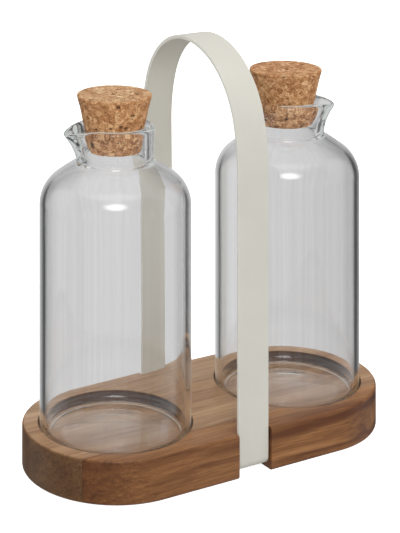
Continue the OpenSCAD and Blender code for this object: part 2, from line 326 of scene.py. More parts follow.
def shoulder_points(br, sr, nr, fr, n):
    """From the top of the straight wall up to the neck, bottom first."""
    a = math.radians(SHOULDER_A)
    cx = br - sr
    p1 = (cx + sr * math.cos(a), SHOULDER_H + sr * math.sin(a))
    kz = p1[1] + (p1[0] - nr) / math.tan(a)
    c2 = (nr + fr, kz + fr * (1 - math.cos(a)) / math.sin(a))
    pts = arc(cx, SHOULDER_H, sr, 0, SHOULDER_A, n)
    p2 = (c2[0] - fr * math.cos(a), c2[1] - fr * math.sin(a))
    pts += [(p1[0] + (p2[0] - p1[0]) * t, p1[1] + (p2[1] - p1[1]) * t) for t in (0.33, 0.66)]
    pts += arc(c2[0], c2[1], fr, 180 + SHOULDER_A, 180, max(6, n // 2))
    return pts


def bottle_profile():
    """(radius, height, is_inside) from the middle of the underside, over the rim, to the middle of the floor."""
    out = [(0, 1.4)]
    out += [(r, 1.4 - r * r / (2 * 244) * 1.0) for r in (5, 10, 15, 20, 24)]
    out += [(26.5, 0.0), (30, 0.0)]
    out += arc(BODY_R - 3, 3, 3, -90, 0, 8)
    out += [(BODY_R, z) for z in np.linspace(6, SHOULDER_H - 2, 26)]
    out += shoulder_points(BODY_R, SHOULDER_R, NECK_R, NECK_FILLET, 18)
    z0 = out[-1][1]
    out += [(NECK_R, z) for z in np.linspace(z0 + 0.7, BOTTLE_H - RIM_OUT - 0.4, 18)]
    out += arc(NECK_R - RIM_OUT, BOTTLE_H - RIM_OUT, RIM_OUT, 0, 90, 7)
    inner = arc(MOUTH_R + RIM_IN, BOTTLE_H - RIM_IN, RIM_IN, 90, 180, 6)
    sh = shoulder_points(BODY_R - WALL, SHOULDER_R - WALL, MOUTH_R, 2.2, 16)
    inner += [(MOUTH_R, z) for z in np.linspace(BOTTLE_H - RIM_IN - 0.6, sh[-1][1] + 0.7, 20)]
    inner += list(reversed(sh))
    inner += [(BODY_R - WALL, z) for z in np.linspace(SHOULDER_H - 2, 11.5, 24)]
    c = 5.5
    inner += arc(BODY_R - WALL - c, FLOOR_T - 0.5 + c, c, 0, -82, 10)
    last = inner[-1]
    inner += [(r, FLOOR_T + 0.35 * (1 - (r / last[0]) ** 2) + (last[1] - FLOOR_T) * (r / last[0]) ** 6)
              for r in (25, 21, 17, 13, 9, 5, 2)]
    inner += [(0, FLOOR_T + 0.35)]
    return out, inner


def teardrop(phi, r, tip, reach):
    """Radius of the lip's plan outline in direction phi: a circle, two tangents and a round tip."""
    d = reach - tip
    b = math.asin((r - tip) / d)
    p = abs((phi + math.pi) % (2 * math.pi) - math.pi)
    at_tip = math.atan2(tip * math.cos(b), d + tip * math.sin(b))
    if p < at_tip:
        return d * math.cos(p) + math.sqrt(max(tip * tip - (d * math.sin(p)) ** 2, 0.0))
    if p < math.pi / 2 - b:
        return r / math.cos(p - (math.pi / 2 - b))
    return r


def smooth_ring(values, count):
    """Softens a closed row of values, so the lip flows into the round neck."""
    for _ in range(count):
        values = 0.25 * np.roll(values, 1) + 0.5 * values + 0.25 * np.roll(values, -1)
    return values


def bottle(name, cx, lip_angle, reach, tip, tip_drop, ease, lip_h):
    """Clear bottle: a lathed body whose neck is drawn out on one side into a pouring lip."""
    out, inner = bottle_profile()
    half = np.concatenate([np.linspace(0, math.radians(32), 34)[:-1],
                           np.linspace(math.radians(32), math.pi, 66)])
    angles = np.concatenate([half[:-1], 2 * math.pi - half[:0:-1]])
    n = len(angles)
    even = 2 * math.pi * np.arange(720) / 720
    out_even = smooth_ring(np.array([teardrop(a, NECK_R, tip, reach) for a in even]), 220)
    drawn = np.clip((out_even - NECK_R) / 2.2, 0, 1)
    wall = (NECK_R - MOUTH_R) + (2.1 - (NECK_R - MOUTH_R)) * drawn * drawn * (3 - 2 * drawn)
    in_even = smooth_ring(out_even - wall, 60)
    out_lobe = np.interp(angles, even, out_even, period=2 * math.pi) - NECK_R
    in_lobe = np.interp(angles, even, in_even, period=2 * math.pi) - MOUTH_R
    verts, rings = [], []
    la = math.radians(lip_angle)
    zb = BOTTLE_H - lip_h
    profile = [(r, z, False) for r, z in out] + [(r, z, True) for r, z in inner]
    for r, z, inside in profile:
        if r < 1e-6:
            rings.append([len(verts)])
            verts.append((cx, 0, FLOOR_Z + z))
            continue
        rings.append(list(range(len(verts), len(verts) + n)))
        t = min(max((z - zb) / lip_h, 0), 1)
        t_in = min(max((z - zb - 1.0) / (lip_h - 1.0), 0), 1)
        w = min(max((r - MOUTH_R) / (NECK_R - MOUTH_R), 0), 1) if z > zb else 0
        s_out, s_in = t ** ease, t_in ** (ease + 0.15)
        for i, a in enumerate(angles):
            rr = r + (1 - w) * in_lobe[i] * s_in + w * out_lobe[i] * s_out
            zz = z - tip_drop * (out_lobe[i] / (reach - NECK_R)) ** 1.5 * t ** 2
            verts.append((cx + rr * math.cos(a + la), rr * math.sin(a + la), FLOOR_Z + zz))
    faces = []
    for a, b in zip(rings[:-1], rings[1:]):
        for i in range(n):
            j = (i + 1) % n
            if len(a) == 1:
                faces.append((a[0], b[j], b[i]))
            elif len(b) == 1:
                faces.append((a[i], a[j], b[0]))
            else:
                faces.append((a[i], a[j], b[j], b[i]))
    ob = new_object(name, verts, faces)
    fix_normals(ob.data)
    return ob


glass_left = bottle("glass_bottle_left", -SPACING / 2, 170, 28.0, 4.6, 3.0, 1.5, 19.0)
glass_right = bottle("glass_bottle_right", SPACING / 2, -38, 25.6, 6.5, 2.0, 1.7, 17.0)


# ---------------------------------------------------------------- corks
def cork(name, cx, shift, seed, height, extra):
    """Tapered cork, squeezed where it sits in the neck: lathed, then roughened with granules and dented pits."""
    rng = np.random.default_rng(seed)
    cx, cy = cx + shift[0], shift[1]
    z0, c = CORK_Z - 0.2, 0.8
    stretch = (height - 12.6) / 14.9
    marks = [(13.1, 0), (14.1, 4.4), (14.5, 8.6), (14.75, 10.9), (15.3 + extra * 0.3, 12.6)]
    marks += [(16.9 + extra * 0.7, 12.6 + 8.0 * stretch), (18.75 + extra, 12.6 + 14.9 * stretch)]
    mr, mz = np.array([m[0] for m in marks]), np.array([m[1] for m in marks])

    def side(z):
        return sum(np.interp(np.clip(z + d, 0, height), mz, mr) for d in (-1.2, -0.6, 0, 0.6, 1.2)) / 5

    rb, rt = float(side(c)), float(side(height - c))
    prof = [(r, 0.0) for r in np.linspace(0.0, rb - c, 16)]
    prof += [(rb - c + c * math.sin(t), c - c * math.cos(t)) for t in np.radians([22, 45, 68])]
    prof += [(float(side(z)), z) for z in np.linspace(c, height - c, 60)]
    prof += [(rt - c + c * math.cos(t), height - c + c * math.sin(t)) for t in np.radians([22, 45, 68])]
    prof += [(r, height) for r in np.linspace(rt - c, 0.0, 26)]
    n = 176
    angles = [2 * math.pi * i / n for i in range(n)]
    ob = lathe_object(name, [(r, z0 + z) for r, z in prof], angles, (cx, cy))
    mesh = ob.data
    co = np.empty(len(mesh.vertices) * 3)
    mesh.vertices.foreach_get("co", co)
    co = co.reshape(-1, 3) / MM
    no = np.array([v.normal for v in mesh.vertices])
    # pits: flattened pockets scattered just under the skin
    count = 150
    pick = rng.integers(0, len(co), count)
    area_pick = co[pick] + rng.normal(0, 0.3, (count, 3))
    size = np.abs(rng.normal(0.55, 0.35, count)) + 0.25
    flat = rng.uniform(0.9, 2.4, count)
    pit = np.zeros(len(co))
    for p, s, f in zip(area_pick, size, flat):
        d = co - p
        on_side = abs(p[2] - z0 - height) > 0.8 and abs(p[2] - z0) > 0.8
        scale = np.array([1.0, 1.0, 1.0 * f]) if on_side else np.array([1.0, f, 1.0])
        q = np.sqrt(((d * scale) ** 2).sum(1)) / s
        pit = np.maximum(pit, np.clip(1 - q, 0, 1) ** 0.7 * min(1, s))
    bump = np.array([noise.voronoi(Vector((p[0] / 2.1, p[1] / 2.1, p[2] / 1.7)))[0][0] for p in co])
    fine = np.array([noise.fractal(Vector(p) / 0.9, 0.9, 2.0, 3) for p in co])
    depth = 0.16 * np.clip(bump - 0.2, 0, 0.6) + 0.05 * np.abs(fine) + 0.75 * pit
    co -= no * depth[:, None]
    mesh.vertices.foreach_set("co", (co * MM).ravel())
    attr = mesh.attributes.new("pit", "FLOAT", "POINT")
    attr.data.foreach_set("value", pit.astype(np.float32))
    mesh.update()
    return ob


cork_left = cork("cork_left", -SPACING / 2, (-0.45, 0.25), 11, 27.4, 0.1)
cork_right = cork("cork_right", SPACING / 2, (-0.6, 0.35), 29, 28.2, 0.35)


# ---------------------------------------------------------------- node helpers
class Tree:
    def __init__(self, name):
        self.mat = bpy.data.materials.new(name)
        self.mat.use_nodes = True
        self.t = self.mat.node_tree
        self.t.nodes.clear()
        self.out = self.t.nodes.new("ShaderNodeOutputMaterial")

    def node(self, kind, **props):
        n = self.t.nodes.new(kind)
        for k, v in props.items():
            setattr(n, k, v)
        return n

    def link(self, a, b):
        self.t.links.new(a, b)

    def put(self, socket, value):
        if isinstance(value, bpy.types.NodeSocket):
            self.link(value, socket)
        else:
            socket.default_value = value

    def math(self, op, a, b=0.5, c=0.5, clamp=False):
        n = self.node("ShaderNodeMath", operation=op, use_clamp=clamp)
        for s, v in zip(n.inputs, (a, b, c)):
            self.put(s, v)
        return n.outputs[0]

    def vmath(self, op, a, b=(0, 0, 0), scale=None):
        n = self.node("ShaderNodeVectorMath", operation=op)
        self.put(n.inputs[0], a)
        if op != "LENGTH" and op != "SCALE":
            self.put(n.inputs[1], b)
        if scale is not None:
            self.put(n.inputs["Scale"], scale)
        return n.outputs["Value" if op in ("LENGTH", "DOT_PRODUCT") else "Vector"]

    def noise(self, vec, scale=1.0, detail=2.0, rough=0.5, distortion=0.0, kind="FBM"):
        n = self.node("ShaderNodeTexNoise")
        n.noise_type = kind
        self.put(n.inputs["Vector"], vec)
        n.inputs["Scale"].default_value = scale
        n.inputs["Detail"].default_value = detail
        n.inputs["Roughness"].default_value = rough
        n.inputs["Distortion"].default_value = distortion
        return n.outputs["Fac"], n.outputs["Color"]

    def voronoi(self, vec, scale=1.0, feature="F1", randomness=1.0, smooth=None):
        n = self.node("ShaderNodeTexVoronoi", feature=feature)
        self.put(n.inputs["Vector"], vec)
        n.inputs["Scale"].default_value = scale
        n.inputs["Randomness"].default_value = randomness
        return n

    def ramp(self, fac, stops, interpolation="LINEAR"):
        n = self.node("ShaderNodeValToRGB")
        n.color_ramp.interpolation = interpolation
        el = n.color_ramp.elements
        while len(el) > 1:
            el.remove(el[-1])
        for i, (pos, colour) in enumerate(stops):
            e = el[0] if i == 0 else el.new(pos)
            e.position = pos
            if isinstance(colour, (int, float)):
                colour = (colour, colour, colour)
            e.color = (*colour, 1)
        self.put(n.inputs[0], fac)
        return n.outputs["Color"]

    def mix(self, fac, a, b, blend="MIX"):
        n = self.node("ShaderNodeMix", data_type="RGBA", blend_type=blend)
        self.put(n.inputs["Factor"], fac)
        for s, v in ((n.inputs[6], a), (n.inputs[7], b)):
            if isinstance(v, (tuple, list)) and len(v) == 3:
                v = (*v, 1)
            self.put(s, v)
        return n.outputs[2]

    def map(self, value, a, b, c=0.0, d=1.0, kind="LINEAR"):
        n = self.node("ShaderNodeMapRange", interpolation_type=kind)
        self.put(n.inputs["Value"], value)
        for k, v in (("From Min", a), ("From Max", b), ("To Min", c), ("To Max", d)):
            self.put(n.inputs[k], v)
        return n.outputs["Result"]

    def bump(self, height, strength=0.3, distance=0.001, normal=None):
        n = self.node("ShaderNodeBump")
        n.inputs["Strength"].default_value = strength
        n.inputs["Distance"].default_value = distance
        self.put(n.inputs["Height"], height)
        if normal is not None:
            self.link(normal, n.inputs["Normal"])
        return n.outputs["Normal"]

    def coords(self):
        return self.node("ShaderNodeTexCoord").outputs["Object"]

    def principled(self, **values):
        n = self.node("ShaderNodeBsdfPrincipled")
        for k, v in values.items():
            self.put(n.inputs[k.replace("_", " ")], v)
        return n


def srgb(r, g, b):
    return tuple(((c / 255 + 0.055) / 1.055) ** 2.4 if c > 10 else c / 255 / 12.92 for c in (r, g, b))


# ---------------------------------------------------------------- materials
def wood_material(name, shift, tones, joints, end_dark=0.6, streak=0.0, figure=0.0, top=(1.0, 1.0, 1.0)):
    """Oiled acacia: long fibres and slow streaks along X, short pores, darker speckled end grain; painted shade on the
    round ends and recess walls, painted sheen on the top.
    """
    t = Tree(name)
    own = t.vmath("MULTIPLY", t.coords(), (1000, 1000, 1000))
    p = t.vmath("ADD", own, shift)
    # slow wander of the grain
    _, slow = t.noise(t.vmath("MULTIPLY", p, (0.011, 0.03, 0.03)), 1.0, 2.0, 0.5)
    wander = t.vmath("MULTIPLY", t.vmath("SUBTRACT", slow, (0.5, 0.5, 0.5)), (0, 9, 9))
    q = t.vmath("ADD", p, wander)
    broad, _ = t.noise(t.vmath("MULTIPLY", q, (0.007, 0.10, 0.13)), 1.0, 3.0, 0.55)
    fib1, _ = t.noise(t.vmath("MULTIPLY", q, (0.018, 0.75, 0.85)), 1.0, 4.0, 0.62)
    fib2, _ = t.noise(t.vmath("MULTIPLY", p, (0.10, 2.3, 2.3)), 1.0, 3.0, 0.6)
    # growth rings, uneven in width and strength
    sep = t.node("ShaderNodeSeparateXYZ")
    t.link(q, sep.inputs[0])
    slant = t.math("ADD", t.math("MULTIPLY", sep.outputs["Y"], 0.17), t.math("MULTIPLY", sep.outputs["Z"], 0.21))
    ringpos = t.math("ADD", slant, t.math("MULTIPLY", broad, 3.2))
    ring = t.ramp(t.math("FRACT", ringpos), [(0.0, 0.15), (0.1, 0.7), (0.4, 1.0), (0.85, 0.55), (1.0, 0.15)], "EASE")
    tone = t.math("ADD", t.math("MULTIPLY", ring, 0.11), t.math("MULTIPLY", t.map(broad, 0.3, 0.7), 0.30))
    tone = t.math("ADD", tone, t.math("MULTIPLY", t.map(fib1, 0.25, 0.75), 0.34))
    tone = t.math("ADD", tone, t.math("MULTIPLY", t.map(fib2, 0.2, 0.8), 0.25))
    colour = t.ramp(tone, [(0.20, tones[0]), (0.41, tones[1]), (0.59, tones[2]), (0.82, tones[3])])
    spot = t.node("ShaderNodeSeparateXYZ")
    t.link(own, spot.inputs[0])
    x, y, z = spot.outputs["X"], spot.outputs["Y"], spot.outputs["Z"]
    if streak:
        # a redder vein that runs under the top edge of the front
        high = t.math("ADD", z, t.math("MULTIPLY", t.math("SUBTRACT", broad, 0.5), 10))
        vein = t.map(t.math("ABSOLUTE", t.math("SUBTRACT", high, 17.2)), 0.7, 3.0, 1, 0, "SMOOTHSTEP")
        vein = t.math("MULTIPLY", vein, t.map(x, -45, 15, 0.25, 1.0, "SMOOTHSTEP"))
        low = t.map(t.math("ABSOLUTE", t.math("SUBTRACT", high, 4.2)), 0.3, 2.4, 0.8, 0, "SMOOTHSTEP")
        low = t.math("MULTIPLY", low, t.map(x, 5, 30, 0, 1, "SMOOTHSTEP"))
        vein = t.math("MULTIPLY", t.math("MAXIMUM", vein, low), t.map(fib1, 0.25, 0.55, 0.6, 1.0))
        colour = t.mix(t.math("MULTIPLY", vein, streak), colour, tuple(c * k for c, k in zip(tones[0], (1.05, 0.85, 0.7))))
    if figure:
        gold = t.map(x, 68, 88, 0, 1, "SMOOTHSTEP")
        gold = t.math("MULTIPLY", gold, t.map(t.math("ABSOLUTE", t.math("SUBTRACT", z, 9.5)), 2, 7, 1, 0, "SMOOTHSTEP"))
        curl, _ = t.noise(t.vmath("MULTIPLY", own, (0.35, 0.35, 0.06)), 1.0, 2.0)
        gold = t.math("MULTIPLY", gold, t.map(curl, 0.38, 0.62, 0.15, 1.0))
        colour = t.mix(t.math("MULTIPLY", gold, figure), colour, srgb(176, 130, 78))
    # pores: short dark dashes along the grain, dots on the ends
    vor = t.voronoi(t.vmath("MULTIPLY", p, (0.13, 1.15, 1.15)), 1.0, "F1", 1.0)
    pore = t.map(vor.outputs["Distance"], 0.05, 0.24, 1.0, 0.0, "SMOOTHSTEP")
    some, _ = t.noise(t.vmath("MULTIPLY", p, (0.03, 0.22, 0.22)), 1.0, 1.0)
    pore = t.math("MULTIPLY", pore, t.map(some, 0.42, 0.6))
    colour = t.mix(t.math("MULTIPLY", pore, 0.5), colour, tuple(c * 0.42 for c in tones[0]))
    # ends of the fibres look darker and show as fine speckle; the darkening also reaches round the curved ends as
    # painted shade, where the front light falls off
    geo = t.node("ShaderNodeTexCoord").outputs["Normal"]
    sn = t.node("ShaderNodeSeparateXYZ")
    t.link(geo, sn.inputs[0])
    end_grain_and_shade = t.map(t.math("ABSOLUTE", sn.outputs["X"]), 0.08, 0.92, 0.0, 1.0, "SMOOTHSTEP")
    speck, _ = t.noise(t.vmath("MULTIPLY", p, (0.5, 1.6, 1.6)), 1.0, 3.0, 0.7)
    endtone = t.math("MULTIPLY", t.map(speck, 0.3, 0.7, 0.78, 1.16), end_dark)
    shade = t.mix(end_grain_and_shade, (1, 1, 1), t.mix(1.0, endtone, (1.12, 0.88, 0.52), "MULTIPLY"))
    # painted sheen: the top faces of the board are made paler and greyer than the sides, standing in for the overhead
    # light and its grazing reflection
    up = t.math("MULTIPLY", t.map(sn.outputs["Z"], 0.5, 0.95), t.map(z, BOARD_T - 3, BOARD_T - 1))
    shade = t.mix(up, shade, t.mix(1.0, shade, top, "MULTIPLY"))
    # glue lines
    for joint in joints:
        line = t.map(t.math("ABSOLUTE", t.math("SUBTRACT", y, joint)), 0.06, 0.22, 0.66, 1.0, "SMOOTHSTEP")
        shade = t.mix(1.0, shade, line, "MULTIPLY")
    # painted shade: the walls of the recesses, which little light reaches past the glass foot, are darkened to a deep
    # brown
    for s in (-1, 1):
        away = t.node("ShaderNodeCombineXYZ")
        t.link(t.math("SUBTRACT", x, s * SPACING / 2), away.inputs[0])
        t.link(y, away.inputs[1])
        dist = t.vmath("LENGTH", away.outputs[0])
        wall = t.map(t.math("ABSOLUTE", t.math("SUBTRACT", dist, RECESS_R)), 0.05, 0.25, 1.0, 0.0)
        wall = t.math("MULTIPLY", wall, t.map(z, BOARD_T - 0.5, BOARD_T - 0.1, 1.0, 0.0))
        wall = t.math("MULTIPLY", wall, t.map(z, FLOOR_Z - 0.2, FLOOR_Z + 0.2, 0.0, 1.0))
        shade = t.mix(wall, shade, t.mix(1.0, shade, (0.20, 0.13, 0.10), "MULTIPLY"))
    dark = t.mix(1.0, colour, shade, "MULTIPLY")
    rough = t.math("ADD", t.math("MULTIPLY", fib1, 0.12), 0.38)
    rough = t.math("ADD", rough, t.math("MULTIPLY", pore, 0.2))
    height = t.math("SUBTRACT", t.math("ADD", t.math("MULTIPLY", fib1, 0.5), t.math("MULTIPLY", fib2, 0.5)),
                    t.math("MULTIPLY", pore, 0.9))
    normal = t.bump(height, 0.35, 0.00018)
    bsdf = t.principled(Base_Color=dark, Roughness=rough, Normal=normal, Specular_IOR_Level=0.38)
    t.link(bsdf.outputs[0], t.out.inputs["Surface"])
    return t.mat


def strap_material():
    """Fine matt powder coat: slight orange-peel, a little mottle, and painted light on the narrow side faces."""
    t = Tree("powder_coat_offwhite")
    p = t.vmath("MULTIPLY", t.coords(), (1000, 1000, 1000))
    peel, _ = t.noise(p, 1.6, 3.0, 0.55)
    fine, _ = t.noise(p, 6.5, 2.0, 0.6)
    mottle, _ = t.noise(p, 0.05, 2.0, 0.5)
    base = srgb(201, 199, 189)
    colour = t.mix(t.map(mottle, 0.35, 0.65), tuple(c * 0.97 for c in base), base)
    colour = t.mix(t.math("MULTIPLY", fine, 0.12), colour, tuple(c * 0.86 for c in base))
    normal = t.bump(t.math("ADD", t.math("MULTIPLY", peel, 0.7), t.math("MULTIPLY", fine, 0.3)), 0.28, 0.00012)
    rough = t.map(peel, 0.3, 0.7, 0.46, 0.58)
    # painted light: the narrow side faces, turned along X, are made much whiter, standing in for light they do not get
    # from the lamps
    sn = t.node("ShaderNodeSeparateXYZ")
    t.link(t.node("ShaderNodeTexCoord").outputs["Normal"], sn.inputs[0])
    painted_side_light = t.map(t.math("ABSOLUTE", sn.outputs["X"]), 0.35, 0.9, 0.0, 1.0, "SMOOTHSTEP")
    colour = t.mix(painted_side_light, colour, t.mix(1.0, colour, (1.36, 1.37, 1.42), "MULTIPLY"))
    bsdf = t.principled(Base_Color=colour, Roughness=rough, Normal=normal, Specular_IOR_Level=0.4)
    t.link(bsdf.outputs[0], t.out.inputs["Surface"])
    return t.mat


def cork_material(name, tones, shift, top=(1.0, 1.0, 1.0)):
    """Pressed cork: granules of many browns, darker seams, dark pits."""
    t = Tree(name)
    p = t.vmath("ADD", t.vmath("MULTIPLY", t.coords(), (1000, 1000, 1000)), shift)
    _, warp = t.noise(p, 0.55, 3.0, 0.6)
    q = t.vmath("ADD", p, t.vmath("MULTIPLY", t.vmath("SUBTRACT", warp, (0.5, 0.5, 0.5)), (2.2, 2.2, 2.2)))
    vor = t.voronoi(t.vmath("MULTIPLY", q, (0.42, 0.42, 0.62)), 1.0, "F1", 1.0)
    small = t.voronoi(t.vmath("MULTIPLY", q, (1.0, 1.0, 1.35)), 1.0, "F1", 1.0)
    sc = t.node("ShaderNodeSeparateColor")
    t.link(vor.outputs["Color"], sc.inputs[0])
    ss = t.node("ShaderNodeSeparateColor")
    t.link(small.outputs["Color"], ss.inputs[0])
    tone = t.math("ADD", t.math("MULTIPLY", sc.outputs[0], 0.55), t.math("MULTIPLY", ss.outputs[0], 0.45))
    fine, _ = t.noise(p, 1.9, 4.0, 0.65)
    tone = t.math("ADD", t.math("MULTIPLY", tone, 0.6), t.math("MULTIPLY", t.map(fine, 0.25, 0.75), 0.4))
    # painted glints and shade: inside the neck the granules get stronger contrast, brighter and darker, standing in for
    # the glints seen through the glass
    sz = t.node("ShaderNodeSeparateXYZ")
    t.link(p, sz.inputs[0])
    neck_glint_contrast = t.map(sz.outputs["Z"], CORK_Z + 10.5 + shift[2], CORK_Z + 12.5 + shift[2], 1.6, 1.1)
    tone = t.math("ADD", t.math("MULTIPLY", t.math("SUBTRACT", tone, 0.5), neck_glint_contrast), 0.5)
    colour = t.ramp(tone, [(0.12, tones[0]), (0.34, tones[1]), (0.6, tones[2]), (0.86, tones[3])])
    sn = t.node("ShaderNodeSeparateXYZ")
    t.link(t.node("ShaderNodeTexCoord").outputs["Normal"], sn.inputs[0])
    # painted light: faces turned up are tinted paler, as if lit from above
    colour = t.mix(t.map(sn.outputs["Z"], 0.6, 0.95), colour, t.mix(1.0, colour, top, "MULTIPLY"))
    edge = t.voronoi(t.vmath("MULTIPLY", q, (0.42, 0.42, 0.62)), 1.0, "DISTANCE_TO_EDGE", 1.0)
    seam = t.map(edge.outputs["Distance"], 0.0, 0.09, 1.0, 0.0, "SMOOTHSTEP")
    some, _ = t.noise(p, 0.35, 2.0)
    seam = t.math("MULTIPLY", seam, t.map(some, 0.4, 0.62))
    colour = t.mix(t.math("MULTIPLY", seam, 0.55), colour, tuple(c * 0.45 for c in tones[0]))
    # small dark lenticels
    dots = t.voronoi(t.vmath("MULTIPLY", q, (0.55, 0.55, 0.9)), 1.0, "F1", 1.0)
    sd = t.node("ShaderNodeSeparateColor")
    t.link(dots.outputs["Color"], sd.inputs[0])
    dot = t.map(dots.outputs["Distance"], 0.12, 0.3, 1.0, 0.0, "SMOOTHSTEP")
    dot = t.math("MULTIPLY", dot, t.math("GREATER_THAN", sd.outputs[1], 0.72))
    colour = t.mix(t.math("MULTIPLY", dot, 0.7), colour, tuple(c * 0.35 for c in tones[0]))
    pit = t.node("ShaderNodeAttribute", attribute_name="pit").outputs["Fac"]
    colour = t.mix(t.map(pit, 0.02, 0.5, 0.0, 0.85), colour, tuple(c * 0.28 for c in tones[0]))
    height = t.math("SUBTRACT", t.math("MULTIPLY", fine, 0.6), t.math("ADD", t.math("MULTIPLY", seam, 0.5), t.math("MULTIPLY", dot, 0.9)))
    normal = t.bump(height, 0.55, 0.00035)
    bsdf = t.principled(Base_Color=colour, Roughness=0.82, Normal=normal, Specular_IOR_Level=0.25)
    t.link(bsdf.outputs[0], t.out.inputs["Surface"])
    return t.mat


def sweep(t, side):
    """Brightness of the sweep and flags against the angle off the camera's line, in degrees."""
    return t.ramp(t.map(side, 0, 90), [(0.0, 0.71), (0.07, 0.67), (0.145, 0.57), (0.22, 0.45), (0.30, 0.27),
                                       (0.35, 0.08), (0.50, 0.07), (0.56, 0.30), (0.63, 0.60), (1.0, 0.75)])


def side_angle(t):
    """Angle in degrees between the current ray and the camera's line, seen from above."""
    geo = t.node("ShaderNodeNewGeometry")
    turn = t.node("ShaderNodeVectorTransform", vector_type="VECTOR", convert_from="WORLD", convert_to="CAMERA")
    t.link(t.vmath("MULTIPLY", geo.outputs["Incoming"], (-1, -1, -1)), turn.inputs[0])
    sep = t.node("ShaderNodeSeparateXYZ")
    t.link(turn.outputs[0], sep.inputs[0])
    return t.math("MULTIPLY", t.math("ARCTAN2", t.math("ABSOLUTE", sep.outputs["X"]), sep.outputs["Z"]), 180 / math.pi)


def glass_material():
    """Soda-lime glass: faint tint and faint waviness; lamps shine through it."""
    t = Tree("clear_glass")
    p = t.vmath("MULTIPLY", t.coords(), (1000, 1000, 1000))
    wav, _ = t.noise(t.vmath("MULTIPLY", p, (0.05, 0.05, 0.012)), 1.0, 2.0, 0.5)
    normal = t.bump(wav, 0.10, 0.0008)
    seed, _ = t.noise(p, 0.02, 1.0)
    tint = t.mix(seed, (0.968, 0.968, 0.972), (0.978, 0.978, 0.982))
    glass = t.principled(Base_Color=tint, Roughness=0.0, IOR=1.5, Transmission_Weight=1.0, Normal=normal)
    clear = t.node("ShaderNodeBsdfTransparent")
    clear.inputs[0].default_value = (0.982, 0.981, 0.978, 1)
    path = t.node("ShaderNodeLightPath")
    fac = t.math("MAXIMUM", path.outputs["Is Shadow Ray"], path.outputs["Is Diffuse Ray"])
    # painted glow: where a ray has bounced inside the rim more than three times, the glass glows pale, faintly green,
    # instead of going black
    pale = t.node("ShaderNodeEmission")
    pale.inputs["Color"].default_value = (0.95, 1.0, 0.97, 1)
    t.link(t.map(sweep(t, side_angle(t)), 0.09, 0.62, 0.06, 0.60), pale.inputs["Strength"])
    trapped_glow = t.node("ShaderNodeMixShader")
    t.link(t.math("GREATER_THAN", path.outputs["Glossy Depth"], 3.5), trapped_glow.inputs[0])
    t.link(glass.outputs[0], trapped_glow.inputs[1])
    t.link(pale.outputs[0], trapped_glow.inputs[2])
    mix = t.node("ShaderNodeMixShader")
    t.link(fac, mix.inputs[0])
    t.link(trapped_glow.outputs[0], mix.inputs[1])
    t.link(clear.outputs[0], mix.inputs[2])
    t.link(mix.outputs[0], t.out.inputs["Surface"])
    return t.mat


def steel_material():
    t = Tree("zinc_steel")
    p = t.vmath("MULTIPLY", t.coords(), (1000, 1000, 1000))
    n1, _ = t.noise(t.vmath("MULTIPLY", p, (3.0, 0.6, 3.0)), 1.0, 3.0, 0.6)
    n2, _ = t.noise(p, 0.8, 2.0)
    colour = t.mix(t.map(n2, 0.3, 0.7), (0.50, 0.50, 0.49), (0.62, 0.62, 0.63))
    bsdf = t.principled(Base_Color=colour, Metallic=1.0, Roughness=t.map(n1, 0.3, 0.7, 0.28, 0.44),
                        Normal=t.bump(n1, 0.2, 0.00008))
    t.link(bsdf.outputs[0], t.out.inputs["Surface"])
    return t.mat


def assign(ob, mat):
    ob.data.materials.clear()
    ob.data.materials.append(mat)


RED = [srgb(74, 40, 17), srgb(106, 66, 34), srgb(131, 87, 49), srgb(160, 114, 70)]
GREY = [srgb(100, 68, 42), srgb(137, 101, 70), srgb(163, 127, 93), srgb(188, 153, 118)]
TAN = [srgb(114, 84, 58), srgb(146, 114, 84), srgb(168, 136, 106), srgb(188, 158, 126)]
JOINTS = (JOINT_FRONT, JOINT_REAR)
# the front stave's last argument paints a pale sheen on its top faces
assign(stave_front, wood_material("acacia_front", (13, 0, 0), RED, JOINTS, 0.56, 0.9, 0.7,
                                (1.30, 1.42, 1.60)))
assign(stave_middle, wood_material("acacia_middle", (140, 31, 7), GREY, JOINTS, 0.31))
assign(stave_rear, wood_material("acacia_rear", (-260, -12, 20), TAN, JOINTS, 0.6))
assign(strap, strap_material())
glass = glass_material()
assign(glass_left, glass)
assign(glass_right, glass)
CORK = [srgb(116, 70, 38), srgb(168, 115, 73), srgb(201, 151, 104), srgb(230, 191, 147)]
# the last argument of each cork paints light on its upward faces
assign(cork_left, cork_material("cork_a", CORK, (0, 0, 0), (1.02, 1.20, 1.42)))
assign(cork_right, cork_material("cork_b", [tuple(c * 0.94 for c in k) for k in CORK], (71, 13, 5), (0.98, 1.0, 1.08)))

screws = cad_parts["handle_screws"]
screws.data.materials.clear()
screws.data.materials.append(steel_material())

# ---------------------------------------------------------------- what rides on what
for ob, body, node, slot in (
    (stave_front, "caddy", "base_stave_front", "wood_front"),
    (stave_middle, "caddy", "base_stave_middle", "wood_middle"),
    (stave_rear, "caddy", "base_stave_rear", "wood_rear"),
    (strap, "caddy", "handle_strap", "powder_coat"),
    (glass_left, "left_bottle", "bottle_left", "glass"),
    (glass_right, "right_bottle", "bottle_right", "glass"),
    (cork_left, "left_stopper", "stopper_left", "cork"),
    (cork_right, "right_stopper", "stopper_right", "cork"),
):
    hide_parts(node)
    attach(ob, body)

# ---------------------------------------------------------------- floor, light, world
scene = bpy.context.scene
half = 4000
floor = new_object("floor", [(-half, -half, 0), (half, -half, 0), (half, half, 0), (-half, half, 0)], [(0, 1, 2, 3)])
floor.location.z = -0.0002

VIEW_AZ = math.radians(30)


# The studio that the glass sees. It turns with the camera: a pale sweep behind the object, two dark flags at its
# sides that draw the edges of the glass, a dim room and one soft key light high behind the camera.
def folds(t, x, z):
    """Faint upright folds in the sweep, which the glass shows as streaks."""
    fold = t.node("ShaderNodeCombineXYZ")
    t.link(t.math("ARCTAN2", x, z), fold.inputs[0])
    streak, _ = t.noise(fold.outputs[0], 130.0, 3.0, 0.65)
    return t.map(streak, 0.3, 0.7, 0.92, 1.06)


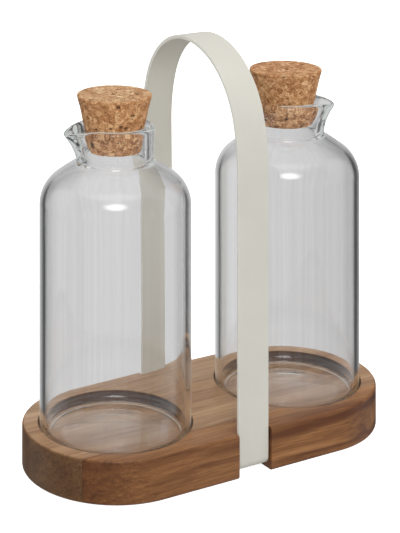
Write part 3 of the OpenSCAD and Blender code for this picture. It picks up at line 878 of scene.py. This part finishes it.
def studio(t, direction, up):
    """Brightness seen along a direction; up is the world height of that direction."""
    turn = t.node("ShaderNodeVectorTransform", vector_type="VECTOR", convert_from="WORLD", convert_to="CAMERA")
    t.link(direction, turn.inputs[0])
    sep = t.node("ShaderNodeSeparateXYZ")
    t.link(turn.outputs[0], sep.inputs[0])
    x, z = sep.outputs["X"], sep.outputs["Z"]
    side = t.math("MULTIPLY", t.math("ARCTAN2", t.math("ABSOLUTE", x), z), 180 / math.pi)
    elev = t.math("MULTIPLY", t.math("ARCSINE", up), 180 / math.pi)
    ahead = t.math("MULTIPLY", sweep(t, side), folds(t, x, z))
    ahead = t.math("MAXIMUM", ahead, t.map(elev, 38, 58, 0, 0.85, "SMOOTHSTEP"))
    # behind the camera: dim, a little streaky, brighter overhead
    az = t.math("ARCTAN2", x, t.math("MULTIPLY", z, -1.0))
    band = t.node("ShaderNodeCombineXYZ")
    t.link(az, band.inputs[0])
    wob, _ = t.noise(band.outputs[0], 5.5, 3.0, 0.6)
    room = t.math("MULTIPLY", t.map(wob, 0.3, 0.7, 0.25, 0.95), t.map(elev, -5, 35, 1.0, 0.65))
    room = t.math("ADD", room, t.map(elev, 50, 75, 0.0, 1.2, "SMOOTHSTEP"))
    dx = t.math("DIVIDE", t.math("MULTIPLY", az, 180 / math.pi), 24.0)
    dy = t.math("DIVIDE", t.math("SUBTRACT", elev, 44.5), 12.5)
    spot = t.math("SQRT", t.math("ADD", t.math("MULTIPLY", dx, dx), t.math("MULTIPLY", dy, dy)))
    key = t.math("MULTIPLY", t.map(spot, 0.0, 1.3, 1.0, 0.0, "SMOOTHSTEP"), 9.0)
    room = t.math("ADD", room, key)
    back = t.map(side, 86, 104, 0, 1, "SMOOTHSTEP")
    mix = t.node("ShaderNodeMix", data_type="FLOAT")
    t.link(back, mix.inputs[0])
    t.link(ahead, mix.inputs[2])
    t.link(room, mix.inputs[3])
    return mix.outputs[0]


def floor_material():
    """Plain white floor. Only contact shadows show on it; the glass sees it as part of the studio."""
    t = Tree("pale_floor")
    diff = t.node("ShaderNodeBsdfDiffuse")
    diff.inputs["Color"].default_value = (0.74, 0.74, 0.74, 1)
    path = t.node("ShaderNodeLightPath")
    glow = t.node("ShaderNodeEmission")
    t.put(glow.inputs["Strength"], t.math("MULTIPLY", path.outputs["Is Camera Ray"], 0.88))
    lit = t.node("ShaderNodeAddShader")
    t.link(diff.outputs[0], lit.inputs[0])
    t.link(glow.outputs[0], lit.inputs[1])
    geo = t.node("ShaderNodeNewGeometry")
    direction = t.vmath("MULTIPLY", geo.outputs["Incoming"], (-1, -1, -1))
    turn = t.node("ShaderNodeVectorTransform", vector_type="VECTOR", convert_from="WORLD", convert_to="CAMERA")
    t.link(direction, turn.inputs[0])
    sep = t.node("ShaderNodeSeparateXYZ")
    t.link(turn.outputs[0], sep.inputs[0])
    side = t.math("MULTIPLY", t.math("ARCTAN2", t.math("ABSOLUTE", sep.outputs["X"]), sep.outputs["Z"]), 180 / math.pi)
    az = t.math("ARCTAN2", sep.outputs["X"], t.math("MULTIPLY", sep.outputs["Z"], -1.0))
    band = t.node("ShaderNodeCombineXYZ")
    t.link(az, band.inputs[0])
    wob, _ = t.noise(band.outputs[0], 6.5, 4.0, 0.65)
    pale = t.math("MULTIPLY", sweep(t, side), folds(t, sep.outputs["X"], sep.outputs["Z"]))
    seen = t.mix(t.map(side, 80, 104, 0, 1, "SMOOTHSTEP"), pale, t.map(wob, 0.3, 0.7, 0.12, 0.75))
    em = t.node("ShaderNodeEmission")
    t.link(seen, em.inputs["Strength"])
    through = t.math("MAXIMUM", path.outputs["Is Transmission Ray"], path.outputs["Is Glossy Ray"])
    through = t.math("MULTIPLY", through, t.math("SUBTRACT", 1.0, path.outputs["Is Diffuse Ray"]))
    mix = t.node("ShaderNodeMixShader")
    t.link(through, mix.inputs[0])
    t.link(lit.outputs[0], mix.inputs[1])
    t.link(em.outputs[0], mix.inputs[2])
    t.link(mix.outputs[0], t.out.inputs["Surface"])
    return t.mat


assign(floor, floor_material())

world = bpy.data.worlds.new("studio")
scene.world = world
world.use_nodes = True
world.node_tree.nodes.clear()


class WorldTree(Tree):
    def __init__(self, tree):
        self.t = tree
        self.out = tree.nodes.new("ShaderNodeOutputWorld")


w = WorldTree(world.node_tree)
direction = w.node("ShaderNodeTexCoord").outputs["Generated"]
wsep = w.node("ShaderNodeSeparateXYZ")
w.link(direction, wsep.inputs[0])
seen = studio(w, direction, wsep.outputs["Z"])
path = w.node("ShaderNodeLightPath")


def choose(fac, a, b):
    n = w.node("ShaderNodeMix", data_type="FLOAT")
    w.put(n.inputs[0], fac)
    w.put(n.inputs[2], a)
    w.put(n.inputs[3], b)
    return n.outputs[0]


soft = w.map(wsep.outputs["Z"], -0.2, 1.0, 0.28, 0.56)
strength = choose(path.outputs["Is Diffuse Ray"], seen, soft)
strength = choose(path.outputs["Is Camera Ray"], strength, 1.05)
bg = w.node("ShaderNodeBackground")
w.link(strength, bg.inputs["Strength"])
bg.inputs["Color"].default_value = (1, 1, 1, 1)
w.link(bg.outputs[0], w.out.inputs["Surface"])


def area(name, loc, target, size, power, size_y=None, spread=180, colour=(1, 1, 1)):
    light = bpy.data.lights.new(name, "AREA")
    light.shape = "RECTANGLE" if size_y else "DISK"
    light.size = size
    if size_y:
        light.size_y = size_y
    light.energy = power
    light.color = colour
    light.spread = math.radians(spread)
    ob = bpy.data.objects.new(name, light)
    ob.location = loc
    ob.rotation_euler = (Vector(target) - Vector(loc)).to_track_quat("-Z", "Y").to_euler()
    ob.visible_glossy = False
    ob.visible_transmission = False
    scene.collection.objects.link(ob)
    return ob


area("overhead", (0.1, -0.1, 1.5), (0, 0, 0.05), 0.9, 8.4, 0.9)
area("front_left", (-0.88, -1.35, 0.9), (0, 0, 0.1), 0.9, 7.0, 0.8)
area("front_right", (0.78, -1.45, 0.9), (0, 0, 0.1), 0.9, 6.8, 0.8)

# ---------------------------------------------------------------- camera
THETA, D, F_PX, H = math.radians(30.0), 0.8923, 1757.3, 0.3898
CX, CY, U0 = 100.0, -328.4, 0.05262
cam_data = bpy.data.cameras.new("camera")
cam = bpy.data.objects.new("camera", cam_data)
scene.collection.objects.link(cam)
cam.location = (-U0 * math.cos(THETA) - D * math.sin(THETA), U0 * math.sin(THETA) - D * math.cos(THETA), H)
cam.rotation_mode = "QUATERNION"
cam.rotation_quaternion = Vector((math.sin(THETA), math.cos(THETA), 0)).to_track_quat("-Z", "Y")
cam_data.sensor_width = 36
cam_data.lens = F_PX / 533 * 36
cam_data.clip_start, cam_data.clip_end = 0.01, 50
SHIFT = {"shift_x": (200 - CX) / 533, "shift_y": (CY - 266.5) / 533}
# The lens is shifted only where this camera stands; a camera moved elsewhere looks straight ahead.
for prop, value in SHIFT.items():
    curve = cam_data.driver_add(prop)
    curve.driver.type = "SCRIPTED"
    for axis, kind in (("x", "LOC_X"), ("y", "LOC_Y"), ("z", "LOC_Z")):
        var = curve.driver.variables.new()
        var.name = axis
        var.type = "TRANSFORMS"
        var.targets[0].id = cam
        var.targets[0].transform_type = kind
        var.targets[0].transform_space = "WORLD_SPACE"
    x, y, z = cam.location
    curve.driver.expression = (
        f"{value:.6f} if abs(x - ({x:.6f})) + abs(y - ({y:.6f})) + abs(z - ({z:.6f})) < 0.001 else 0"
    )
scene.camera = cam

scene.view_settings.view_transform = "Standard"
scene.view_settings.look = "None"

bpy.context.view_layer.update()
